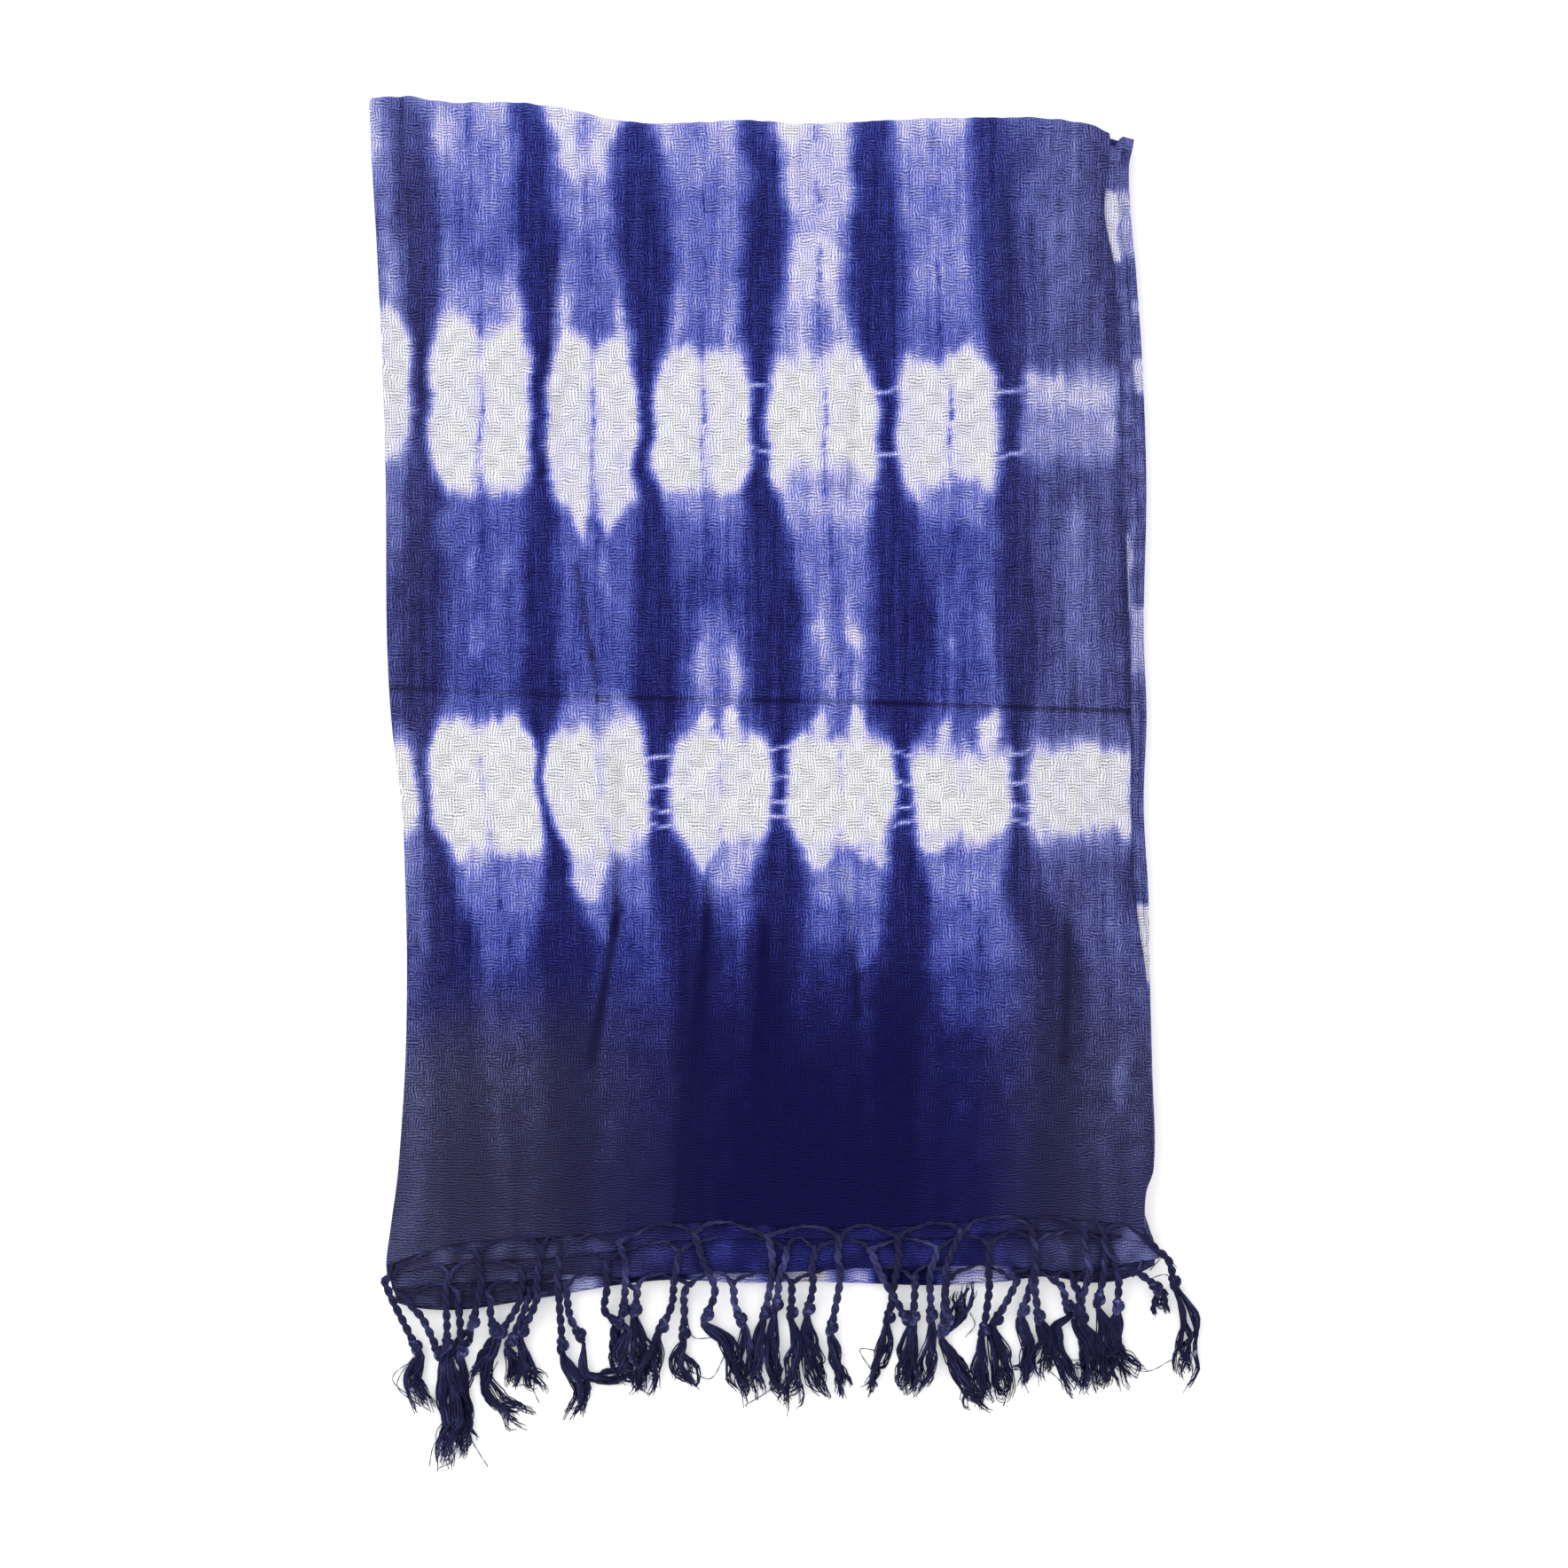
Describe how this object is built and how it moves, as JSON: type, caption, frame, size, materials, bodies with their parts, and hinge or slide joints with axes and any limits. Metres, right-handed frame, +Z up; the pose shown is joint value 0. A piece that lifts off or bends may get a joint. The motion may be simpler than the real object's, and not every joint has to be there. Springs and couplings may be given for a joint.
{
  "type": "folded stole",
  "caption": "Tie-dyed stole of soft open gauze with knotted fringe at its hems, folded and lying flat. Worn round the neck or shoulders.",
  "frame": {"origin": "on the surface that the folded stole lies on, under the middle of its outline", "axes": "+Z up out of the stack, +Y from the fringed hems to the top fold, +X from the left folds to the selvedges"},
  "size_m": [0.3366, 0.5592, 0.0126],
  "materials": {
    "gauze": "soft matt open weave, tie-dyed in indigo and violet-blue on white",
    "fringe_yarn": "soft matt twisted yarn in dark navy"
  },
  "bodies": {
    "root": {"back_panel": "gauze", "folded_layers": "gauze", "third_panel": "gauze", "second_panel": "gauze", "front_panel": "gauze", "fringe_third": "fringe_yarn", "fringe_second": "fringe_yarn", "fringe_front": "fringe_yarn"}
  },
  "joints": []
}
